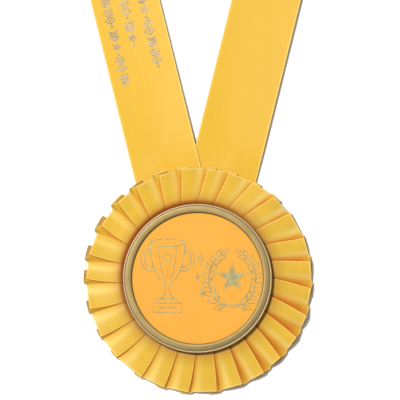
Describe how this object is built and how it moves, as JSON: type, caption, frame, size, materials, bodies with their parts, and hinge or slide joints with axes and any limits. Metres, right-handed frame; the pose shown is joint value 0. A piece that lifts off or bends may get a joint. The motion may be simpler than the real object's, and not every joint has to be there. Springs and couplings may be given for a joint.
{
  "type": "award ribbon",
  "caption": "Pleated satin award rosette with a metal-framed round centre, stapled to a folded neck ribbon that opens as a V and loops behind the neck.",
  "frame": {"origin": "centre of the back card's underside, on the surface that the award lies on", "axes": "+Z out of the rosette's face, +Y up the neck ribbon away from the rosette, +X to the right when looking at the face"},
  "size_m": [0.1712, 0.3623, 0.0101],
  "materials": {
    "satin": "golden yellow polyester satin with a soft sheen",
    "brass_trim": "brushed, brass plated",
    "grey_board": "plain grey pulp board",
    "white_card": "uncoated card",
    "printed_insert": "matt golden yellow face with a foil print",
    "steel_wire": "drawn wire",
    "thread": "polyester sewing thread",
    "hot_melt_glue": "cured hot-melt bead"
  },
  "bodies": {
    "rosette": {"back_card": "white_card", "base_card": "grey_board", "left_tail": "satin", "right_tail": "satin", "ruffle": "satin", "gathering_thread": "thread", "glue_ring": "hot_melt_glue", "button_pan": "brass_trim", "stiffener": "grey_board", "printed_insert": "printed_insert", "bezel": "brass_trim", "tail_staple_lower": "steel_wire", "tail_staple_upper": "steel_wire", "ruffle_staple_1": "steel_wire", "ruffle_staple_2": "steel_wire", "ruffle_staple_3": "steel_wire", "ruffle_staple_4": "steel_wire"},
    "legs": {"left_leg": "satin", "right_leg": "satin"},
    "band": {"neck_band": "satin"}
  },
  "joints": [
    {"name": "leg_fold", "type": "hinge", "parent": "rosette", "child": "legs", "pos_m": [-0.001, 0.078, 0.00017], "axis": [1, 0, 0], "range_deg": [-150, 150]},
    {"name": "neck_fold", "type": "hinge", "parent": "legs", "child": "band", "pos_m": [-0.001, 0.228, 0.00017], "axis": [1, 0, 0], "range_deg": [-150, 150]}
  ]
}
